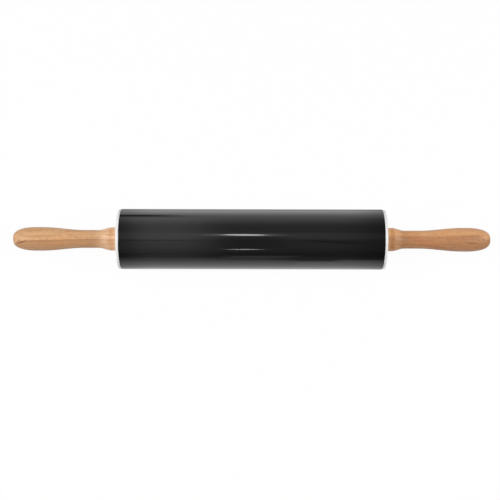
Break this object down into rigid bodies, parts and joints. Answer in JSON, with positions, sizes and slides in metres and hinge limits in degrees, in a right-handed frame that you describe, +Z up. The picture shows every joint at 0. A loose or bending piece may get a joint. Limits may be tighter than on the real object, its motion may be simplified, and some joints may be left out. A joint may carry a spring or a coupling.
{
  "type": "rolling pin",
  "caption": "Handled rolling pin: a black non-stick coated steel roller with white end caps turns freely on a steel axle between turned wooden handles.",
  "frame": {"origin": "the middle of the axle, halfway between the handle tips", "axes": "+X along the axle towards the right handle, +Z up from the worktop, +Y away from the viewer"},
  "size_m": [0.45, 0.0568, 0.0568],
  "materials": {
    "nonstick_coating": "smooth glossy black non-stick coat on steel",
    "cap_plastic": "moulded warm white plastic, satin gloss",
    "bush_plastic": "natural white bearing plastic",
    "axle_steel": "bright drawn steel bar",
    "washer_steel": "zinc plated steel",
    "pale_wood": "turned pale hardwood, sanded and oiled",
    "red_wood": "turned redder hardwood, sanded and oiled"
  },
  "bodies": {
    "axle_and_handles": {"axle_rod": "axle_steel", "left_handle": "pale_wood", "right_handle": "red_wood", "left_thrust_washer": "washer_steel", "right_thrust_washer": "washer_steel"},
    "roller": {"barrel_tube": "nonstick_coating", "left_end_cap": "cap_plastic", "right_end_cap": "cap_plastic", "left_axle_bush": "bush_plastic", "right_axle_bush": "bush_plastic"}
  },
  "joints": [
    {"name": "roller_spin", "type": "hinge", "parent": "axle_and_handles", "child": "roller", "pos_m": [0, 0, 0], "axis": [1, 0, 0], "continuous": true}
  ]
}
